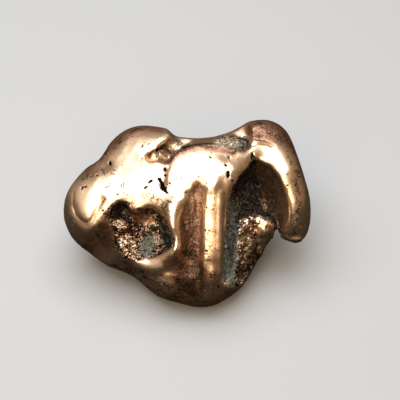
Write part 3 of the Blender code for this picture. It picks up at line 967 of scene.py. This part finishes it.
def grit_height(tree, place, inlets):
    """Crumbly grains in patches, over bigger lumps."""
    rough = read_mask(tree, "rough")
    near, _ = cells(tree, warped(tree, place, *GRAIN_WARP), inlets["Grain Size"])
    patches = fade(tree, noise(tree, place, PATCH_SIZE, 2.0), *PATCH_FADE)
    crumbly = calculate(tree, "MULTIPLY", rough, patches)
    grains = swing(tree, calculate(tree, "SUBTRACT", 1.0, near), inlets["Grain Height"], crumbly)
    lumps = swing(tree, noise(tree, place, inlets["Lump Size"], 5.0), inlets["Lump Height"], rough)
    return calculate(tree, "ADD", grains, lumps)


def pit_bowls(tree, place, inlets):
    """1 in the bottom of each pit and 0 outside it; only as many cells as the mask allows have a pit."""
    near, lot = cells(tree, warped(tree, place, *PIT_WARP), inlets["Pit Spacing"])
    reach = calculate(tree, "DIVIDE", inlets["Pit Width"], inlets["Pit Spacing"])
    depth = calculate(tree, "SUBTRACT", 1.0, calculate(tree, "DIVIDE", near, reach))
    chosen = calculate(tree, "LESS_THAN", lot, read_mask(tree, "pitted"))
    return calculate(tree, "MULTIPLY", fade(tree, depth, *BOWL_FADE), chosen)


def wave_heights(tree, place, inlets):
    """A slow ripple everywhere, and streaks down the face where the mask allows."""
    ripple = swing(tree, noise(tree, place, inlets["Ripple Size"], 1.0), inlets["Ripple Height"], 1.0)
    inputs = {0: place, 1: STREAK_STRETCH}
    stretched = add_node(tree, "ShaderNodeVectorMath", inputs, operation="MULTIPLY").outputs[0]
    streaks = swing(tree, noise(tree, stretched, 1.0), inlets["Streak Height"], read_mask(tree, "streaked"))
    return ripple, streaks


# %% The relief tree
def make_relief_tree():
    """Moves the skin along its normals, and adds the pits to the mask of holes."""
    tree, inlets, outlets = start_tree("relief", RELIEF)
    place = add_node(tree, "GeometryNodeInputPosition").outputs[0]
    normal = add_node(tree, "GeometryNodeInputNormal").outputs[0]
    bowls = pit_bowls(tree, place, inlets)
    pits = calculate(tree, "MULTIPLY", bowls, inlets["Pit Depth"])
    height = calculate(tree, "SUBTRACT", grit_height(tree, place, inlets), pits)
    for wave in wave_heights(tree, place, inlets):
        height = calculate(tree, "ADD", height, wave)
    inputs = {"Geometry": inlets["Geometry"], "Offset": scaled(tree, normal, height)}
    moved = add_node(tree, "GeometryNodeSetPosition", inputs)
    holes = calculate(tree, "MAXIMUM", bowls, read_mask(tree, "holes"))
    inputs = {"Geometry": moved.outputs[0], "Name": "holes", "Value": holes}
    stored = add_node(tree, "GeometryNodeStoreNamedAttribute", inputs, data_type="FLOAT", domain="POINT")
    finish_tree(tree, stored.outputs[0], inlets["Material"], outlets[0])
    return tree


def apply_tree(obj, tree, material, sizes):
    """Runs the tree on the object's mesh, and returns the plain mesh that it makes."""
    modifier = obj.modifiers.new(tree.name, "NODES")
    modifier.node_group = tree
    values = {"Material": material, **sizes}
    for socket in tree.interface.items_tree:
        if socket.in_out == "INPUT" and socket.name in values:
            modifier[socket.identifier] = values[socket.name]
    mesh = evaluated_mesh(obj)
    obj.modifiers.remove(modifier)
    return mesh


# %% [markdown]
# ## The metal
#
# One shader group mixes the finishes. Polished copper is pale and golden because its own colour tints
# whatever it mirrors. Tarnish turns it brown and a little rougher, and the same brown and a nearly black are
# also painted as shade wherever the brown mask holds painted shade. In the grit only the tips of the grains
# still shine. The green, grey and black crusts are minerals, no longer metal, so they lose their mirror.
# The group gives out a colour, a roughness, how metallic the surface is, and a height for the finest bumps.
#
# Each finish breaks up along clouds, crumbs and specks of noise, so that no border runs smooth. A recipe says
# how much of each mask and of each noise goes into a value, and over what range that value fades in.

# %% Sockets and scattered patterns
# Brown and Dark colour tarnish, and also painted shade where the brown mask holds it
FINISH_INPUTS = {
    "Polished": (0.91, 0.63, 0.38, 1), "Brown": (0.35, 0.18, 0.1, 1), "Dark": (0.034, 0.019, 0.013, 1),
    "Fresh": (0.6, 0.45, 0.3, 1), "Black": (0.003, 0.0026, 0.002, 1), "Green": (0.07, 0.082, 0.05, 1),
    "Grey": (0.155, 0.147, 0.105, 1), "Tarnish And Shade": 0.0, "Crust": 0.0, "Bloom": 0.0, "Holes": 0.0, "Pitted": 0.0,
    "Cavity": 0.0, "Grit": 0.0, "Glint": 0.3, "Satin": 0.0,
}
FINISH_OUTPUTS = {"Color": "NodeSocketColor", "Roughness": "NodeSocketFloat", "Metallic": "NodeSocketFloat",
                  "Height": "NodeSocketFloat"}
PATTERNS = {
    # name: (size, detail)
    "clouds": (1.6, 4.0), "crumbs": (0.5, 3.0), "specks": (0.24, 2.0), "folds": (0.9, 3.0),
}
PINHOLE_SPACING = 0.55
PINHOLE_WARP = (0.4, 0.5)


def add_patterns(tree, values):
    """Adds the patterns, each centred on zero, and the distances to the nearest pinhole and crack."""
    place = scaled(tree, add_node(tree, "ShaderNodeTexCoord").outputs["Object"], 1 / MM)
    for name, (size, detail) in PATTERNS.items():
        values[name] = calculate(tree, "SUBTRACT", noise(tree, place, size, detail), 0.5)
    values["to crack"] = calculate(tree, "ABSOLUTE", values["folds"])
    values["to pinhole"], values["lot"] = cells(tree, warped(tree, place, *PINHOLE_WARP), PINHOLE_SPACING)


# %% Recipes
# the brown sum: tarnish together with painted shade from the brown mask, and more in creases
STAIN_AND_SHADE = {"Tarnish And Shade": 1.0, "Cavity": 0.5, "clouds": 0.7}
TIPS = {"Glint": 1.0, "crumbs": 1.6, "specks": 0.8, "clouds": 1.3, "Cavity": -0.5}
RECIPES = {
    # value: (where it starts, where it is full, {what goes into it: weight})
    "browned": (0.1, 0.85, STAIN_AND_SHADE),
    "darkened": (0.85, 1.5, {**STAIN_AND_SHADE, "specks": 1.4}),
    "grain": (0.25, 0.5, TIPS),
    "bare tip": (0.45, 0.75, TIPS),
    "gritty": (0.1, 0.6, {"Grit": 1.0}),
    "crusted": (0.4, 0.7, {"Crust": 1.0, "specks": 1.4, "crumbs": 1.4, "clouds": 1.0}),
    "green crust": (0.05, 0.4, {"clouds": 1.0, "crumbs": 1.4, "specks": 0.8}),
    "bloomed": (0.4, 0.7, {"Bloom": 1.0, "specks": 2.0, "crumbs": 2.0}),
    "pale bloom": (-0.5, 0.3, {"specks": 2.0, "crumbs": 2.0, "clouds": 0.6}),
    "pinhole": (0.26, 0.1, {"to pinhole": 1.0}),
    "crack": (0.05, 0.015, {"to crack": 1.0}),
    "cracked": (0.4, 0.6, {"Pitted": 1.0, "clouds": 1.2, "crumbs": 0.6}),
    "hole": (0.2, 0.42, {"Holes": 1.0, "specks": 1.2}),
}
METALLIC = (1.0, {"mineral": -0.9})  # the value everywhere, and what is added to it
ROUGHNESS = (0.33, {"browned": 0.12, "mineral": 0.3, "Satin": 0.2})
SMOOTH_BUMPS = (0.1, {"browned": 0.4})
BUMPS = (0.0, {"specks": 1.0, "crumbs": 0.6})
HEIGHT = (0.0, {"bumps": 1.0, "marks": -0.04})


def mix(tree, share, first, second):
    """The first colour, giving way to the second."""
    inputs = {SHARE: share, FIRST: first, SECOND: second}
    return add_node(tree, "ShaderNodeMix", inputs, data_type="RGBA").outputs[MIXED]


def weigh(tree, values, total, weights):
    """The total, with each named value added to it by its weight."""
    for name, weight in weights.items():
        inputs = {0: values[name], 1: weight, 2: total}
        total = add_node(tree, "ShaderNodeMath", inputs, operation="MULTIPLY_ADD").outputs[0]
    return total


print(f"{len(RECIPES)} recipes")

# %% The finish group
def lay_metal(tree, values):
    """Smooth metal goes from polished to brown to nearly black, as tarnish and as painted shade; grit is dark,
    with bare metal on its tips.
    """
    tarnished = mix(tree, values["browned"], values["Polished"], values["Brown"])
    smooth = mix(tree, values["darkened"], tarnished, values["Dark"])
    tipped = mix(tree, values["bare tip"], values["Brown"], values["Fresh"])
    gritty = mix(tree, values["grain"], values["Dark"], tipped)
    return mix(tree, values["gritty"], smooth, gritty)


def lay_minerals(tree, values, color):
    """A green and black crust, with a grey-green bloom over it."""
    crust = mix(tree, values["green crust"], values["Black"], values["Green"])
    bloom = mix(tree, values["pale bloom"], values["Black"], values["Grey"])
    return mix(tree, values["bloomed"], mix(tree, values["crusted"], color, crust), bloom)


def find_marks(tree, values):
    """Pinholes, cracks and holes, which are painted nearly black."""
    chosen = calculate(tree, "LESS_THAN", values["lot"], values["Pitted"])
    pinholes = calculate(tree, "MULTIPLY", values["pinhole"], chosen)
    cracks = calculate(tree, "MULTIPLY", values["crack"], values["cracked"])
    return calculate(tree, "MAXIMUM", calculate(tree, "MAXIMUM", pinholes, cracks), values["hole"])


def make_finish():
    """The shader group that both metals use."""
    tree = bpy.data.node_groups.new("copper_finish", "ShaderNodeTree")
    for name, value in FINISH_INPUTS.items():
        kind = "NodeSocketFloat" if isinstance(value, float) else "NodeSocketColor"
        tree.interface.new_socket(name, in_out="INPUT", socket_type=kind).default_value = value
    for name, kind in FINISH_OUTPUTS.items():
        tree.interface.new_socket(name, in_out="OUTPUT", socket_type=kind)
    given = tree.nodes.new("NodeGroupInput").outputs
    result = tree.nodes.new("NodeGroupOutput").inputs
    values = {name: given[name] for name in FINISH_INPUTS}
    add_patterns(tree, values)
    for name, (start, full, weights) in RECIPES.items():
        values[name] = fade(tree, weigh(tree, values, 0.0, weights), start, full)
    values["mineral"] = calculate(tree, "MAXIMUM", values["crusted"], values["bloomed"])
    values["marks"] = find_marks(tree, values)
    uneven = calculate(tree, "MAXIMUM", values["Grit"], weigh(tree, values, *SMOOTH_BUMPS))
    values["bumps"] = calculate(tree, "MULTIPLY", weigh(tree, values, *BUMPS), uneven)
    color = lay_minerals(tree, values, lay_metal(tree, values))
    tree.links.new(mix(tree, values["marks"], color, values["Black"]), result["Color"])
    tree.links.new(weigh(tree, values, *METALLIC), result["Metallic"])
    tree.links.new(weigh(tree, values, *ROUGHNESS), result["Roughness"])
    tree.links.new(weigh(tree, values, *HEIGHT), result["Height"])
    return tree


finish = make_finish()
print(f"the finish group has {len(finish.nodes)} nodes")

# %% Metals
MASK_INPUTS = {"Tarnish And Shade": "brown", "Crust": "crust", "Bloom": "bloom", "Holes": "holes", "Pitted": "pitted",
               "Cavity": "cavity", "Grit": "grit", "Glint": "glint", "Satin": "satin"}
MINERAL_GLOSS = 0.2  # metal mirrors by its colour, so only the minerals show it
SKIN_BUMP = 0.14
GRAIN_BUMP = 0.03


def make_metal(name, bump, **changes):
    """A copper material that reads the masks of whatever mesh it is on."""
    material = bpy.data.materials.new(name)
    material.use_nodes = True
    tree = material.node_tree
    group = add_node(tree, "ShaderNodeGroup", node_tree=finish)
    for socket, value in {**FINISH_INPUTS, **changes}.items():
        group.inputs[socket].default_value = value
    for socket, mask in MASK_INPUTS.items():
        if socket not in changes:
            attribute = add_node(tree, "ShaderNodeAttribute", attribute_name=mask)
            tree.links.new(attribute.outputs["Fac"], group.inputs[socket])
    shader = tree.nodes["Principled BSDF"]
    tree.links.new(group.outputs["Color"], shader.inputs["Base Color"])
    tree.links.new(group.outputs["Roughness"], shader.inputs["Roughness"])
    tree.links.new(group.outputs["Metallic"], shader.inputs["Metallic"])
    shader.inputs["Specular IOR Level"].default_value = MINERAL_GLOSS
    inputs = {"Height": group.outputs["Height"], "Strength": 1.0, "Distance": bump * MM}
    tree.links.new(add_node(tree, "ShaderNodeBump", inputs).outputs[0], shader.inputs["Normal"])
    return material


worn_copper = make_metal("worn_copper", SKIN_BUMP)
grain_copper = make_metal("grain_copper", GRAIN_BUMP, Grit=1.0, Cavity=0.0, Pitted=0.0, Holes=0.0, Satin=0.0)
print("two metals:", worn_copper.name, "and", grain_copper.name)

# %% Weathering the skin
CAVITY_GAIN = 5


def measure_cavity(mesh):
    """For every vertex, how far it lies below the middle of its neighbours, from -1 on a tip to 1 in a pit."""
    places = read(mesh.vertices, "co")
    normals = read(mesh.vertices, "normal")
    ends = np.empty(len(mesh.edges) * 2, np.int32)
    mesh.edges.foreach_get("vertices", ends)
    first, second = ends.reshape(-1, 2).T
    total = np.zeros_like(places)
    np.add.at(total, first, places[second])
    np.add.at(total, second, places[first])
    count = np.bincount(ends, minlength=len(places))
    sunk = ((total / count[:, None] - places) * normals).sum(axis=1)
    return np.clip(sunk / SKIN_VOXEL * CAVITY_GAIN, -1, 1)


skin.data = apply_tree(skin, make_relief_tree(), worn_copper, RELIEF)
store(skin.data, "cavity", measure_cavity(skin.data))
move(skin.data, read(skin.data.vertices, "co"))
print(f"the weathered skin has {count_triangles(skin.data)} triangles")

# %% [markdown]
# ## Loose grains
#
# Grit isn't a smooth crust. Tiny crystals of copper stand up from it, and their flat faces catch the light
# one at a time, which is why a hollow sparkles. A second Geometry Nodes tree scatters such grains over the
# rough faces: each is a small twenty-sided stone, turned and sized at random, and half sunk in the skin.

# %% The grains tree
GRAINS = {"Per Square Millimetre": 5.0, "Smallest": 0.07, "Largest": 0.22}
GRAIN_SEED = 7
GRIT_FADE = (0.35, 1.0)  # the strength of the grit where the first grains lie, and where they are densest
FULL_TURN = 6.3
STONE_FACES = 20


def make_grains_tree():
    """Small stones scattered over the grit, each with its own turn and size."""
    tree, inlets, outlets = start_tree("grains", GRAINS)
    share = fade(tree, read_mask(tree, "grit"), *GRIT_FADE)
    density = calculate(tree, "MULTIPLY", share, inlets["Per Square Millimetre"])
    inputs = {"Mesh": inlets["Geometry"], "Density": density, "Seed": GRAIN_SEED}
    spread = add_node(tree, "GeometryNodeDistributePointsOnFaces", inputs)
    stone = add_node(tree, "GeometryNodeMeshIcoSphere", {"Radius": 1.0, "Subdivisions": 1}).outputs[0]
    inputs = {0: (0, 0, 0), 1: (FULL_TURN, FULL_TURN, FULL_TURN), "Seed": GRAIN_SEED}
    turn = add_node(tree, "FunctionNodeRandomValue", inputs, data_type="FLOAT_VECTOR").outputs[0]
    inputs = {2: inlets["Smallest"], 3: inlets["Largest"], "Seed": GRAIN_SEED + 1}
    size = add_node(tree, "FunctionNodeRandomValue", inputs, data_type="FLOAT").outputs[1]
    inputs = {"Points": spread.outputs["Points"], "Instance": stone, "Rotation": turn, "Scale": size}
    placed = add_node(tree, "GeometryNodeInstanceOnPoints", inputs)
    finish_tree(tree, placed.outputs[0], inlets["Material"], outlets[0])
    return tree


grains = link("copper_grains", apply_tree(skin, make_grains_tree(), grain_copper, GRAINS))
print(f"{len(grains.data.polygons) // STONE_FACES} grains")

# %% [markdown]
# ## Handing over
#
# Both pieces go back to metres. The skin stands for the imported nugget from here on.

# %% Handing over
for piece in (skin, grains):
    piece.data.transform(Matrix.Scale(MM, 4))
    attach(piece, "root")
skin.data.shade_smooth()
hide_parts("nugget")

finished_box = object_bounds()
finished_size = [round(side / MM, 1) for side in finished_box[1] - finished_box[0]]
print("the finished nugget measures", finished_size, "mm")
